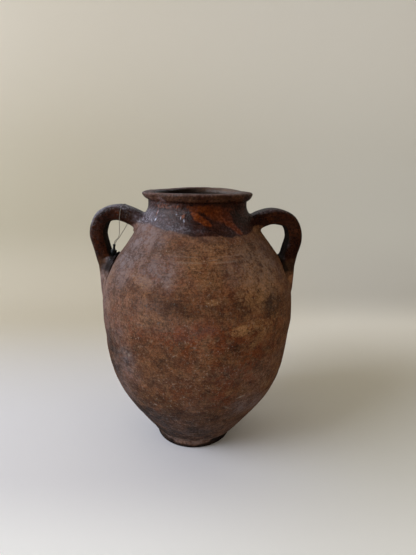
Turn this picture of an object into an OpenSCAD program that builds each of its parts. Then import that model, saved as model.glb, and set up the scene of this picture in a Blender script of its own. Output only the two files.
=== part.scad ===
// Two-handled olive jar of wheel-thrown clay. Its walls are thrown in sections that are luted together at
// bevelled seams, the lip is a coil folded over the neck, and two pulled straps are pressed on as handles.
// A loop of thread with a small snap lock hangs over the left handle.
// The jar stands on z = 0 with its axis on Z. Its handles lie along X, the left one at -X, and -Y is the front.
// Profiles are lists of [radius, height].

/* [Foot] */
// Height of the foot
foot_h = 19; // [14:1:26]
// Radius of the flat face that the jar rests on, with its rounded edge
foot_r = 56; // [48:1:58]
// Radius of the foot where it meets the body
foot_top_r = 60; // [59:0.5:63]
// Rounding of the foot's lower edge
foot_edge = 4; // [2:0.5:8]
// Depth of the dish in the foot's top that the body is seated in
foot_dish = 5; // [3:0.5:8]
// Width of the flat land round that dish
foot_land = 12; // [8:1:20]

/* [Body] */
// Height from the top of the foot to the widest girth
lower_h = 191; // [160:1:230]
// Height from the widest girth to the collar joint
upper_h = 114; // [100:1:135]
// Radius of the body just above the foot
waist_r = 64.5; // [64:0.5:75]
// Radius at the widest girth
belly_r = 134.5; // [120:0.5:150]
// Radius at the collar joint, where the neck begins
collar_r = 82; // [78:0.5:92]
// Thickness of the thrown wall
wall = 9; // [6:0.5:12]
// Thickness of the floor
floor_t = 12; // [8:1:18]
// Height of the bowl's rounding inside, from the floor to the straight wall
bowl_h = 26; // [18:1:40]
// Distance of the belly seam below the widest girth
seam_drop = 22; // [5:1:60]
// Depth of the V-shaped seam between the lower and the upper body
seam_v = 4; // [2:0.5:6]

/* [Body curves] */
// Lean of the wall away from upright where it leaves the foot, in degrees
foot_lean = 35; // [28:1:42]
// Lean of the shoulder at the collar joint, in degrees
shoulder_lean = 36; // [30:1:42]
// Share of the lower height over which the wall keeps the foot's lean
foot_pull = 0.41; // [0.3:0.01:0.5]
// Share of the lower height over which the wall stays upright below the widest girth
belly_pull = 0.57; // [0.4:0.01:0.65]
// Share of the upper height over which the wall stays upright above the widest girth
chest_pull = 0.46; // [0.35:0.01:0.55]
// Share of the upper height over which the shoulder keeps its lean
shoulder_pull = 0.38; // [0.25:0.01:0.45]

/* [Neck and rim] */
// Height from the collar joint to the underside of the lip
neck_h = 33; // [30:1:45]
// Outer radius of the neck
neck_r = 67.6; // [65:0.2:71]
// Radius of the throat, which is a straight bore
throat_r = 57.5; // [50:0.5:59]
// Height at which the neck's outside becomes upright, above the collar joint
neck_flare_h = 26; // [24:1:28]
// Drop of the bevelled seat between the body and the neck, from its outside to its inside
collar_bevel = 4; // [2:0.5:6]
// Height of the lip, from its underside to its crest
lip_h = 13; // [10:0.5:18]
// Outer radius of the lip
lip_r = 75.5; // [74:0.5:82]
// Thickness of the lip over the neck's top edge, which is also the rounding into the throat
lip_cap = 6; // [4:0.5:7]
// Rounding of the lip's outer edge
lip_edge = 5; // [3:0.5:6]

/* [Handles] */
// Thickness of the straps, seen from the front
strap_t = 21; // [16:0.5:26]
// Width of the straps, from front to back
strap_w = 34; // [28:1:40]
// Thickness of the straps at their upper roots, where they are thumbed onto the shoulder
root_t = 29; // [26:0.5:34]
// Width of the straps at both roots
root_w = 42; // [36:1:48]
// Thickness of the straps at their feathered lower ends
tail_t = 19; // [14:0.5:22]
// Rise of the left handle's crown above the collar joint, at the middle of the strap
left_rise = 15; // [8:0.5:20]
// Rise of the right handle's crown above the collar joint
right_rise = 9.5; // [6:0.5:18]
// Reach of the left handle beyond the widest girth, to the middle of the strap
left_reach = 3.5; // [0:0.5:12]
// Reach of the right handle beyond the widest girth
right_reach = 1.5; // [0:0.5:12]

/* [Tag lock] */
// Diameter of the thread
thread_d = 0.8; // [0.6:0.1:1.2]
// Length of the lock's barrel
barrel_h = 8; // [6:0.5:10]
// Largest diameter of the barrel
barrel_d = 8.6; // [7.6:0.2:9.4]
// Diameter of the barrel's lower end
barrel_tip_d = 4; // [3.2:0.2:4.6]
// Diameter of the pin's head
pin_head_d = 4; // [3.2:0.2:4.4]
// Height of the pin's head
pin_head_h = 8; // [5:0.5:10]
// Diameter of the pin's shank
pin_shank_d = 1.8; // [1.2:0.1:2]
// Length of the pin's shank inside the barrel
pin_shank_h = 5; // [3:0.5:5]
// Gap all round the pin's shank
pin_gap = 0.1; // [0.05:0.05:0.3]

/* [Hidden] */
$fn = 96;

// Heights along the axis
floor_z = foot_h + floor_t;
belly_z = foot_h + lower_h;
seam_z = belly_z - seam_drop;
collar_z = belly_z + upper_h;
lip_z = collar_z + neck_h;
crest_z = lip_z + lip_h;
neck_top_z = crest_z - lip_cap;

// Steps along the curved walls, round an arc, and between two points of a strap
wall_steps = 12;
arc_steps = 6;
strap_steps = 5;
strap_sides = 16;
thread_sides = 8;
thread_steps = 3;

// A direction that leans from upright by an angle, outwards when the angle is positive
function leaning(angle) = [sin(angle), cos(angle)];

// A point of the cubic curve that leaves a towards b and reaches d from c
function cubic(a, b, c, d, t) =
    pow(1 - t, 3) * a + 3 * pow(1 - t, 2) * t * b + 3 * (1 - t) * t * t * c + pow(t, 3) * d;
function curve(a, b, c, d, steps) = [for (i = [0 : steps]) cubic(a, b, c, d, i / steps)];
function arc(centre, r, from, to) =
    [for (i = [0 : arc_steps]) let (a = from + (to - from) * i / arc_steps) centre + r * [cos(a), sin(a)]];
function swapped(points) = [for (p = points) [p[1], p[0]]];
function reversed(points) = [for (i = [len(points) - 1 : -1 : 0]) points[i]];

// The outside of the wall, as one smooth line from the foot to the top of the neck
waist = [waist_r, foot_h];
belly = [belly_r, belly_z];
collar = [collar_r, collar_z];
neck_start = [neck_r, collar_z + neck_flare_h];
lower_line = curve(waist, waist + lower_h * foot_pull * leaning(foot_lean),
    belly - [0, lower_h * belly_pull], belly, 3 * wall_steps);
upper_line = curve(belly, belly + [0, upper_h * chest_pull],
    collar - upper_h * shoulder_pull * leaning(-shoulder_lean), collar, 3 * wall_steps);
neck_line = curve(collar, collar + neck_flare_h / 2 * leaning(-shoulder_lean),
    neck_start - [0, neck_flare_h / 4], neck_start, wall_steps);
outside = swapped(concat(lower_line, upper_line, neck_line));

// Radius of the outside at a height, its slope there, and the inside one wall's thickness behind it
function r_out(z) = lookup(z, outside);
function slope(z) = (r_out(z + 1) - r_out(z - 1)) / 2;
function r_in(z) = r_out(z) - wall * sqrt(1 + pow(slope(z), 2));
function outer_points(from, to, steps) =
    [for (i = [0 : steps]) let (z = from + (to - from) * i / steps) [r_out(z), z]];
function inner_points(from, to, steps) =
    [for (i = [0 : steps]) let (z = from + (to - from) * i / steps) [r_in(z), z]];

// Seams, each a line of points from the outside to the inside that both neighbours share
dish_r = foot_top_r - foot_land;
foot_seat = [[foot_top_r, foot_h], [dish_r, foot_h], [dish_r / 2, foot_h - foot_dish], [0, foot_h - foot_dish]];
belly_seam = [[r_out(seam_z), seam_z], [(r_out(seam_z) + r_in(seam_z)) / 2, seam_z - seam_v],
    [r_in(seam_z), seam_z]];
collar_seam = [collar, [r_in(collar_z - collar_bevel), collar_z - collar_bevel]];
lip_seam = [[neck_r, lip_z], [neck_r, neck_top_z], [throat_r, neck_top_z]];

// The body's underside stands a little above the foot's top, which leaves the dark line between them
ledge = 1.5;
bowl_z = floor_z + bowl_h;
bowl = curve([r_in(bowl_z), bowl_z], [r_in(bowl_z) - slope(bowl_z) * bowl_h / 2, bowl_z - bowl_h / 2],
    [r_in(bowl_z) * 0.8, floor_z], [0, floor_z], wall_steps);

// The neck's inside leaves the collar seam along the shoulder and turns upright into the throat
neck_inner = collar_seam[1];
throat_z = neck_inner[1] + (neck_inner[0] - throat_r) / tan(shoulder_lean);
throat_line = curve(neck_inner, [(neck_inner[0] + throat_r) / 2, (neck_inner[1] + throat_z) / 2],
    [throat_r, throat_z], [throat_r, throat_z + collar_bevel], arc_steps);

module turned(outline) {
    rotate_extrude() polygon(outline);
}

module foot() {
    color("#4a342a") turned(concat(foot_seat,
        [[0, 0], [foot_r - foot_edge, 0]],
        arc([foot_r - foot_edge, foot_edge], foot_edge, -60, -15)));
}

module lower_body() {
    color("#6b4433") turned(concat(reversed(foot_seat),
        outer_points(foot_h + ledge, seam_z, 2 * wall_steps - 1),
        [belly_seam[1]],
        reversed(inner_points(bowl_z, seam_z, wall_steps)),
        [for (i = [1 : wall_steps]) bowl[i]]));
}

module upper_body() {
    color("#70483a") turned(concat(outer_points(seam_z, collar_z, 2 * wall_steps),
        reversed(inner_points(seam_z, collar_z - collar_bevel, 2 * wall_steps)),
        [belly_seam[1]]));
}

module neck() {
    color("#4d3a3a") turned(concat(outer_points(collar_z, neck_start[1], wall_steps),
        lip_seam,
        reversed(throat_line)));
}

module rim() {
    inner_edge = arc([throat_r + lip_cap, crest_z - lip_cap], lip_cap, 180, 90);
    outer_edge = arc([lip_r - lip_edge, crest_z - lip_edge], lip_edge, 90, -40);
    color("#5a3b30") turned(concat(inner_edge, outer_edge, [lip_seam[0], lip_seam[1]]));
}

// The solid shape of the jar's outside, which shapes the faces where the straps are pressed on
module jar_outside() {
    turned(concat([[0, seam_z]], outer_points(seam_z, collar_z, 2 * wall_steps),
        outer_points(collar_z, neck_start[1], wall_steps), [[neck_r, lip_z], [0, lip_z]]));
}

// A smooth line through points, with a number of steps between each two of them
function between(a, b, c, d, t) =
    0.5 * (2 * b + t * (c - a) + t * t * (2 * a - 5 * b + 4 * c - d) + pow(t, 3) * (3 * b - a - 3 * c + d));
function smooth(p, steps) = let (last = len(p) - 1) concat(
    [for (i = [0 : last - 1]) for (k = [0 : steps - 1])
        between(p[max(i - 1, 0)], p[i], p[i + 1], p[min(i + 2, last)], k / steps)],
    [p[last]]);
function unit(v) = v / norm(v);
function tangents(line) = [for (i = [0 : len(line) - 1])
    unit(line[min(i + 1, len(line) - 1)] - line[max(i - 1, 0)])];

// A closed skin over rings of points, with flat ends
module skin(rings) {
    sides = len(rings[0]);
    last = len(rings) - 1;
    polyhedron(
        points = [for (ring = rings) for (p = ring) p],
        faces = concat(
            [[for (k = [0 : sides - 1]) k]],
            [for (i = [0 : last - 1]) for (k = [0 : sides - 1]) let (n = (k + 1) % sides)
                [i * sides + k, (i + 1) * sides + k, (i + 1) * sides + n]],
            [for (i = [0 : last - 1]) for (k = [0 : sides - 1]) let (n = (k + 1) % sides)
                [i * sides + k, (i + 1) * sides + n, i * sides + n]],
            [[for (k = [sides - 1 : -1 : 0]) last * sides + k]]));
}

// The middle of a strap, from the shoulder over its crown and down the limb to its feathered end
elbow = [7.5, 6.5];
limb_drop = 27;
return_drop = 53;
return_in = 5;
tie_drops = [66, 84, 116];
tie_offsets = [2.5, -4.5, -10.5];
function strap_line(rise, reach) = let (crown_z = collar_z + rise, limb_r = belly_r + reach) concat([
    [r_out(collar_z - 4) - 9, collar_z - 4],
    [r_out(collar_z) + 5, collar_z + 0.35 * rise],
    [(collar_r + limb_r) / 2, crown_z],
    [limb_r - elbow[0], crown_z - elbow[1]],
    [limb_r, crown_z - limb_drop],
    [limb_r - return_in, crown_z - return_drop]],
    [for (i = [0 : 2]) [r_out(collar_z - tie_drops[i]) + tie_offsets[i], collar_z - tie_drops[i]]]);

// A strap's cross-section is a rounded oblong, thicker and wider towards its roots
section_power = 0.75;
function rounded(x) = sign(x) * pow(abs(x), section_power);
function strap_ring(centre, along, t, w) = [for (k = [0 : strap_sides - 1])
    let (a = 360 * k / strap_sides, out = t / 2 * rounded(cos(a)))
    [centre[0] - along[1] * out, w / 2 * rounded(sin(a)), centre[1] + along[0] * out]];

module strap(rise, reach) {
    line = smooth(strap_line(rise, reach), strap_steps);
    along = tangents(line);
    last = len(line) - 1;
    thickness = [[0.06, root_t], [0.25, strap_t], [0.8, strap_t], [1, tail_t]];
    width = [[0, root_w], [0.25, strap_w], [0.7, strap_w], [1, root_w]];
    difference() {
        skin([for (i = [0 : last])
            strap_ring(line[i], along[i], lookup(i / last, thickness), lookup(i / last, width))]);
        jar_outside();
    }
}

module left_handle() {
    color("#3a2420") mirror([1, 0, 0]) strap(left_rise, left_reach);
}

module right_handle() {
    color("#402823") strap(right_rise, right_reach);
}

// The lock hangs at the thread's lower end, in the crook between the limb and the shoulder, and leans as the
// thread's first stretch does. Its place is measured from the left handle's crown.
crown = [-(collar_r + belly_r + left_reach) / 2, 0, collar_z + left_rise];
head_top = crown + [-4.6, -12, -43.5];
hang = [0.2, 0, 1.5];
hang_lean = atan2(hang[0], hang[2]);
barrel_top = head_top - pin_head_h * unit(hang);
tie_point = barrel_top + [0, (pin_head_d + barrel_d) / 4, 0];

// The thread leaves the top of the pin's head, climbs the front of the strap, crosses over it, comes down
// behind and ends on the barrel's top face beside the head. These points are measured from the crown too.
loop_points = [[-2.8, -12.3, -38.2], [0.4, -12.8, -35], [2.6, -13.4, -31], [3.2, -14.2, -27], [3.8, -15.6, -21],
    [4.4, -17.2, -14], [4.8, -18.2, -8], [5.6, -18.2, -2], [6.6, -17.7, 4], [7.8, -14.6, 7.8], [8.6, -8, 9.9],
    [9, 0, 10.4], [9.4, 8, 9.9], [9.8, 14.8, 7.8], [10.4, 18.4, 3], [10.8, 19, -4], [11, 18.4, -10],
    [10.6, 15, -16], [8.2, 6, -23], [4.4, -4, -30], [1.6, -8, -35], [-2, -8.9, -39.4]];
thread_route = concat(
    [for (i = [0 : 2]) head_top + i * hang],
    [for (p = loop_points) crown + p],
    [for (i = [4, 2, 0]) tie_point + i * hang]);

function sideways(along, previous) = unit(previous - (previous * along) * along);
function frames(along, i = 0, previous = [0, 1, 0]) = i == len(along) ? [] :
    let (side = sideways(along[i], previous)) concat([side], frames(along, i + 1, side));

module tag_thread() {
    line = smooth(thread_route, thread_steps);
    along = tangents(line);
    side = frames(along);
    color("#8a8578") skin([for (i = [0 : len(line) - 1]) let (up = cross(along[i], side[i]))
        [for (k = [0 : thread_sides - 1]) let (a = -360 * k / thread_sides)
            line[i] + thread_d / 2 * (cos(a) * side[i] + sin(a) * up)]]);
}

module hung() {
    translate(barrel_top) rotate([0, hang_lean, 0]) children();
}

module tag_lock() {
    bore_r = pin_shank_d / 2 + pin_gap;
    color("#17181a") hung() turned([[bore_r, 0], [barrel_d / 2 - 0.5, 0], [barrel_d / 2, -0.5],
        [barrel_d / 2, -barrel_h / 3], [barrel_tip_d / 2, 0.6 - barrel_h], [barrel_tip_d / 2 - 0.6, -barrel_h],
        [0, -barrel_h], [0, -pin_shank_h - pin_gap], [bore_r, -pin_shank_h - pin_gap]]);
}

module tag_lock_pin() {
    color("#1d1f22") hung() turned([[0, pin_head_h], [pin_head_d / 2 - 0.8, pin_head_h],
        [pin_head_d / 2, pin_head_h - 0.8], [pin_head_d / 2, 0], [pin_shank_d / 2, 0],
        [pin_shank_d / 2, 0.4 - pin_shank_h], [pin_shank_d / 2 - 0.4, -pin_shank_h], [0, -pin_shank_h]]);
}

foot();
lower_body();
upper_body();
neck();
rim();
left_handle();
right_handle();
tag_thread();
tag_lock();
tag_lock_pin();
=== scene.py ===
# %% [markdown]
# # An old two-handled olive jar
#
# The jar is thrown on a wheel in sections: a bowl with its floor, a shoulder and a short neck, joined while
# the clay is damp. A coil folded over the neck makes the lip, two pulled straps make the handles, and the
# whole stands on a small foot. Only the neck, lip and handles are glazed; the body is bare fired clay.
#
# A turned pot could be made with Blender's Spin or Screw tools, or sculpted. Here every piece is a surface
# worked out with numpy, because then one function can say where the wall lies at any angle and height, and
# the joints between the pieces fall on the same points from both sides.

# %% Load the frame
import math

import bpy
import numpy as np
from mathutils import Matrix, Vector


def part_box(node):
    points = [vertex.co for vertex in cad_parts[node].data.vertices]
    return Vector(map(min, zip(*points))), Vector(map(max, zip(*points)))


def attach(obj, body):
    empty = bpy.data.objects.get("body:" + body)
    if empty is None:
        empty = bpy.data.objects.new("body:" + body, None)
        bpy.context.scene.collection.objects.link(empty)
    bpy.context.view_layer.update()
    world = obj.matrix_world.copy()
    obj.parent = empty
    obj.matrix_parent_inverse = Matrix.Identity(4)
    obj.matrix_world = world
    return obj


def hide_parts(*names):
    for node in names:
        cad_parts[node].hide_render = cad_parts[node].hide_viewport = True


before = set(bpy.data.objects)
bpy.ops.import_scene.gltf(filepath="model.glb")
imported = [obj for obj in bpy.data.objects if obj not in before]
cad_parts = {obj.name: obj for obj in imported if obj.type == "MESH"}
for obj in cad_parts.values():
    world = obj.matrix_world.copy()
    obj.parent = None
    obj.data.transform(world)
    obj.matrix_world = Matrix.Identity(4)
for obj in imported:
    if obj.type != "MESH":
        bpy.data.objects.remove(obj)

scene = bpy.context.scene
scene.view_settings.view_transform = "Standard"
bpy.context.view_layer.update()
MM = 0.001
BODY = "root"

# %% [markdown]
# ## The camera
#
# The photograph was taken from a little above the rim with a phone's wide lens. The camera stands in front
# of the jar and looks down by some 15 degrees, turned a little so that the jar falls left of the middle.
# Its place was found by fitting the rim, the belly and the foot to the picture. A shift of the lens could
# move the jar off the middle as well, but a turn is what the hand that held the camera did.

# %% Camera
EYE_HEIGHT = 401
EYE_DISTANCE = 583.8
LOOK_DOWN = 14.91
LOOK_RIGHT = 1.55
ROLL = 0.76
LENS = 27.05


def turned(axis, degrees):
    return Matrix.Rotation(math.radians(degrees), 4, axis)


def make_camera():
    """The turns are read from right to left: rolled about its line of sight, tilted, then turned right."""
    data = bpy.data.cameras.new("camera")
    data.lens = LENS
    data.sensor_width = 36
    camera = bpy.data.objects.new("camera", data)
    scene.collection.objects.link(camera)
    place = Matrix.Translation((0, -EYE_DISTANCE * MM, EYE_HEIGHT * MM))
    camera.matrix_world = place @ turned("Z", -LOOK_RIGHT) @ turned("X", 90 - LOOK_DOWN) @ turned("Z", ROLL)
    return camera


scene.camera = make_camera()

# %% [markdown]
# ## Sizes from the frame
#
# The CAD model already holds the jar's real sizes, so none is typed again: heights and radii are read from
# the corners of its nodes, and the outline of the wall from the rings of vertices on its turned surfaces.

# %% Sizes read from the frame
def low_corner(node):
    return np.array(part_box(node)[0]) / MM


def high_corner(node):
    return np.array(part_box(node)[1]) / MM


foot_top = high_corner("foot")[2]
belly_r = high_corner("upper_body")[0]
collar_z = high_corner("upper_body")[2]
lip_z = low_corner("rim")[2]
crest_z = high_corner("rim")[2]
lip_r = high_corner("rim")[0]
neck_top = high_corner("neck")[2]
print("Foot top, collar, lip and crest:", [round(float(v), 1) for v in (foot_top, collar_z, lip_z, crest_z)])


# %% Rings of a turned node
def wall_rings(node, side):
    """[radius, height] of a turned node's rings of vertices on its outside (side 1) or inside (side -1).

    A face lies on the outside where its normal points away from the axis more than up or down."""
    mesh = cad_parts[node].data
    points = np.empty(len(mesh.vertices) * 3)
    normals = np.empty(len(mesh.polygons) * 3)
    centres = np.empty(len(mesh.polygons) * 3)
    corners = np.empty(len(mesh.loops), int)
    mesh.vertices.foreach_get("co", points)
    mesh.polygons.foreach_get("normal", normals)
    mesh.polygons.foreach_get("center", centres)
    mesh.loops.foreach_get("vertex_index", corners)
    points, normals, centres = (a.reshape(-1, 3) for a in (points / MM, normals, centres))
    outward = (normals * centres)[:, :2].sum(1) / np.hypot(centres[:, 0], centres[:, 1]).clip(1e-6)
    used = points[np.unique(corners.reshape(-1, 3)[side * outward > 0.78])]
    rings = np.unique(np.round(np.column_stack([used[:, 2], np.hypot(used[:, 0], used[:, 1])]), 2), axis=0)
    apart = np.diff(rings[:, 0], prepend=rings[0, 0] - 9) > 0.4
    return rings[apart, ::-1]


def through(points, spacing):
    """A smooth line through points, resampled at a steady spacing.

    Between two points it is the cubic whose slopes at both ends are the differences of the points on
    either side, taken along the line."""
    points = np.asarray(points, float)
    apart = np.linalg.norm(np.diff(points, axis=0, prepend=points[:1] - 9), axis=1) > 0.01
    points = points[apart]
    length = np.concatenate([[0], np.cumsum(np.linalg.norm(np.diff(points, axis=0), axis=1))])
    slope = np.gradient(points, length, axis=0)
    s = np.linspace(0, length[-1], max(2, int(round(length[-1] / spacing)) + 1))
    i = np.clip(np.searchsorted(length, s, side="right") - 1, 0, len(length) - 2)
    step = (length[i + 1] - length[i])[:, None]
    t = (s - length[i])[:, None] / step
    return ((1 + 2 * t) * (1 - t) ** 2 * points[i] + t * (1 - t) ** 2 * step * slope[i]
            + t * t * (3 - 2 * t) * points[i + 1] + t * t * (t - 1) * step * slope[i + 1])


# %% [markdown]
# ## The thread and its lock
#
# A loop of thin thread hangs over the left handle, closed by a small black snap lock of the kind that holds a label.
# A thread could be simulated, but it weighs nothing and simply follows the strap, so its route is a smooth curve
# through points chosen around the strap, measured from the handle's crown.

# %% Route of the thread
COLLAR_R = 82
LEFT_RISE = 15
LEFT_REACH = 3.5
RIGHT_RISE = 11
RIGHT_REACH = 1.5
THREAD_D = 0.8
PIN_HEAD_H = 8
PIN_HEAD_D = 4
BARREL_D = 8.6
BARREL_H = 8
BARREL_TIP_D = 4

crown = np.array([-(COLLAR_R + belly_r + LEFT_REACH) / 2, 0, collar_z + LEFT_RISE])
head_top = crown + [-4.6, -12, -43.5]
hang = np.array([0.2, 0, 1.5])
hang_unit = hang / np.linalg.norm(hang)
barrel_top = head_top - PIN_HEAD_H * hang_unit
tie_point = barrel_top + [0, (PIN_HEAD_D + BARREL_D) / 4, 0]
loop_points = np.array([
    [-2.8, -12.3, -38.2], [0.4, -12.8, -35], [2.6, -13.4, -31], [3.2, -14.2, -27], [3.8, -15.6, -21],
    [4.4, -17.2, -14], [4.8, -18.2, -8], [5.6, -18.2, -2], [6.6, -17.7, 4], [7.8, -14.6, 7.8], [8.6, -8, 9.9],
    [9, 0, 10.4], [9.4, 8, 9.9], [9.8, 14.8, 7.8], [10.4, 18.4, 3], [10.8, 19, -4], [11, 18.4, -10],
    [10.6, 15, -16], [8.2, 6, -23], [4.4, -4, -30], [1.6, -8, -35], [-2, -8.9, -39.4]])
thread_route = np.concatenate([
    [head_top + i * hang for i in (0, 1, 2)],
    crown + loop_points,
    [tie_point + i * hang for i in (4, 2, 0)]])
thread_line = through(thread_route, 1.0)


# %% Thread as a curve
def make_thread():
    """One open poly spline along the smooth line, given its thickness by a round bevel."""
    curve = bpy.data.curves.new("tag_thread_cord", "CURVE")
    curve.dimensions = "3D"
    curve.bevel_depth = THREAD_D / 2 * MM
    curve.bevel_resolution = 3
    curve.use_fill_caps = True
    spline = curve.splines.new("POLY")
    spline.points.add(len(thread_line) - 1)
    spline.points.foreach_set("co", np.column_stack([thread_line * MM, np.ones(len(thread_line))]).ravel())
    thread = bpy.data.objects.new("tag_thread_cord", curve)
    scene.collection.objects.link(thread)
    return thread


thread = make_thread()

# %% [markdown]
# ## Surfaces as grids
#
# Every piece below is a grid of points: its columns go round, its rows go along an outline. A column always
# closes into a ring. The rows either close as well, as on a tube with thickness, or end in one point on the
# axis at both ends. Blender could smooth the faces by itself, but two pieces that meet at a joint would then
# show a line between them, so each grid brings its own normals along.

# %% Grid to mesh
def grid_normals(grid, closed):
    """Unit normals of a grid of points: the cross product of its steps along the rows and the columns."""
    round_step = np.roll(grid, -1, axis=1) - np.roll(grid, 1, axis=1)
    if closed:
        along_step = np.roll(grid, -1, axis=0) - np.roll(grid, 1, axis=0)
    else:
        along_step = np.gradient(grid, axis=0)
    normals = np.cross(round_step, along_step)
    return normals / np.linalg.norm(normals, axis=2, keepdims=True).clip(1e-12)


def grid_faces(rows, columns, closed):
    """Corner numbers of the quads, counted row by row, wound so that they face outwards."""
    row = np.arange(rows if closed else rows - 1)[:, None]
    column = np.arange(columns)[None, :]
    after = (column + 1) % columns
    above = (row + 1) % rows
    quads = np.stack([row * columns + column, row * columns + after,
                      above * columns + after, above * columns + column], axis=-1)
    return quads.reshape(-1, 4)


def make_piece(name, grid, normals, closed, marks=None):
    """A mesh object from a grid in millimetres, with a point on the axis at both ends if it isn't closed.

    marks are named values per point, which the materials read as attributes."""
    rows, columns = grid.shape[:2]
    points = grid.reshape(-1, 3)
    vertex_normals = normals.reshape(-1, 3)
    faces = grid_faces(rows, columns, closed).tolist()
    marks = dict((key, value.ravel()) for key, value in (marks or {}).items())
    if not closed:
        ends = [(0, False), (rows - 1, True)]
        for row, top in ends:
            ring = grid[row]
            pole = len(points)
            around = np.arange(columns) + row * columns
            after = np.roll(around, -1)
            fan = np.column_stack([around, after, np.full(columns, pole)])
            faces += (fan if top else fan[:, [1, 0, 2]]).tolist()
            points = np.vstack([points, ring.mean(0)])
            vertex_normals = np.vstack([vertex_normals, normals[row].mean(0)])
            for key in marks:
                marks[key] = np.append(marks[key], marks[key][around].mean())
    mesh = bpy.data.meshes.new(name)
    mesh.from_pydata((points * MM).tolist(), [], faces)
    mesh.polygons.foreach_set("use_smooth", np.ones(len(mesh.polygons), bool))
    for key, value in marks.items():
        mesh.attributes.new(key, "FLOAT", "POINT").data.foreach_set("value", value.astype(np.float32))
    mesh.validate()
    lengths = np.linalg.norm(vertex_normals, axis=1, keepdims=True)
    mesh.normals_split_custom_set_from_vertices((vertex_normals / lengths.clip(1e-9)).tolist())
    piece = bpy.data.objects.new(name, mesh)
    scene.collection.objects.link(piece)
    print(name, "has", sum(len(p.vertices) - 2 for p in mesh.polygons), "triangles")
    return piece


# %% [markdown]
# ## Smooth randomness
#
# Clay, glaze and wear are never even. A noise function gives the same random number each time for the same
# place, and changes smoothly between places. Blender has such textures for materials, but here the shape
# needs the same thing, so it is written in numpy: random numbers sit at the corners of a grid of cubes, and
# in between they are blended.

# %% Noise
FACTORS = np.array([73856093, 19349663, 83492791], np.uint32)


def scrambled(mixed):
    """A number from -1 to 1 for each whole number, made by mixing its bits."""
    mixed = mixed ^ (mixed >> np.uint32(15))
    mixed *= np.uint32(2246822519)
    mixed ^= mixed >> np.uint32(13)
    mixed *= np.uint32(3266489917)
    mixed ^= mixed >> np.uint32(16)
    return mixed.astype(float) / 2**31 - 1


def noise(points, size, seed):
    """Smooth random values from -1 to 1 whose lumps are about size millimetres wide.

    size may be three numbers, which stretches the lumps. Each value is blended from the eight corners of
    its cube, with weights that start and end level."""
    scaled = points / np.asarray(size, float) + seed * 17.31
    cell = np.floor(scaled)
    t = scaled - cell
    t = t * t * (3 - 2 * t)
    weights = [(1 - t[..., i], t[..., i]) for i in range(3)]
    cell = cell.astype(np.int64).astype(np.uint32)
    parts = [(cell[..., i] * FACTORS[i], (cell[..., i] + np.uint32(1)) * FACTORS[i]) for i in range(3)]
    start = np.uint32(seed * 2654435761 % 2**32)
    total = np.zeros(points.shape[:-1])
    for i, j, k in np.ndindex(2, 2, 2):
        value = scrambled(parts[0][i] ^ parts[1][j] ^ parts[2][k] ^ start)
        total += weights[0][i] * weights[1][j] * weights[2][k] * value
    return total


def rough_noise(points, size, seed, layers=3):
    """Noise with finer and fainter noise on top: each layer is half as wide and half as strong."""
    size = np.asarray(size, float)
    total = sum(noise(points, size / 2**i, seed + i) / 2**i for i in range(layers))
    return total / (2 - 2 / 2**layers)


def rise(value, start, end):
    """0 before start and 1 after end, with a smooth step between."""
    t = np.clip((value - start) / (end - start), 0, 1)
    return t * t * (3 - 2 * t)


def bell(value, middle, half_width):
    """1 in the middle, falling off to both sides like a bell."""
    return np.exp(-((value - middle) / half_width) ** 2)


# %% [markdown]
# ## The outline
#
# One line runs from the middle of the underside, up the foot, the bowl, the shoulder and the neck, over the
# lip and into the throat. The bowl, shoulder and neck follow the CAD rings; the foot and the lip get the
# small roundings that fingers leave. A piece takes its stretch of this line.

# %% Outline of the outside
FOOT_FACE_R = 52
FOOT_SEAT = [[60, 19], [48, 19], [24, 14], [0.4, 14]]
LINE_BAND = [285, 300]

foot_r = high_corner("foot")[0]
foot_line = through([[0.4, 0], [26, 0], [46, 0], [FOOT_FACE_R, 0.1], [55, 1.5], [56.4, 4.2], [57.6, 9],
                     [58.6, 14], [foot_r, foot_top]], 1.4).clip(0)
lower_line = through(wall_rings("lower_body", 1), 1.4)
upper_line = through(wall_rings("upper_body", 1), 1.25)
band = (upper_line[:, 1] > LINE_BAND[0]) & (upper_line[:, 1] < LINE_BAND[1])
upper_line = np.vstack([upper_line[upper_line[:, 1] <= LINE_BAND[0]], through(upper_line[band], 0.45),
                        upper_line[upper_line[:, 1] >= LINE_BAND[1]]])
neck_rings = wall_rings("neck", 1)
neck_line = through(neck_rings[neck_rings[:, 1] <= lip_z + 0.1], 1.1)
throat_r = wall_rings("neck", -1)[-1][0]
lip_line = through([neck_line[-1], [69.2, lip_z + 0.8], [72.2, lip_z + 3.2], [74.2, lip_z + 6.2],
                    [lip_r, lip_z + 9.6], [75.2, lip_z + 11.6], [73.8, crest_z - 0.4], [71, crest_z],
                    [66, crest_z - 0.3], [61.6, crest_z - 0.9], [58.9, crest_z - 2.4], [throat_r, neck_top]], 0.8)
print("Throat radius:", throat_r, "mm; body's lowest ring:", lower_line[0])


def joined(*lines):
    """Lines put end to end, without repeating the points where they meet, and the numbers of the joints."""
    points = [lines[0]]
    joints = [len(lines[0]) - 1]
    for line in lines[1:]:
        points.append(line[1:])
        joints.append(joints[-1] + len(line) - 1)
    return np.concatenate(points), joints


ledge = np.linspace(foot_line[-1], lower_line[0], 5)
outline, joints = joined(foot_line, np.vstack([ledge, lower_line[1:]]), upper_line, neck_line, lip_line)
print("Rows of the outline:", len(outline), "with joints at", joints)

# %% [markdown]
# ## How the clay departs from the plain outline
#
# Looking along the wall of a thrown pot shows slow swells where the hands pressed, fine rings from the
# fingertips, and dents. These are added along the wall's normal. The incised lines on the shoulder, made by
# holding a point against the turning pot, are narrow grooves at steady heights. Displacing the points, not
# only the shading, keeps them on the outline too.

# %% Relief of the wall
INCISED = [(296.2, 0.55), (294.2, 0.4), (289, 0.7)]


def angle_of(points):
    """Angle round the jar in degrees: 0 at the front, positive towards the right handle."""
    return np.degrees(np.arctan2(points[..., 0], -points[..., 1]))


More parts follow.
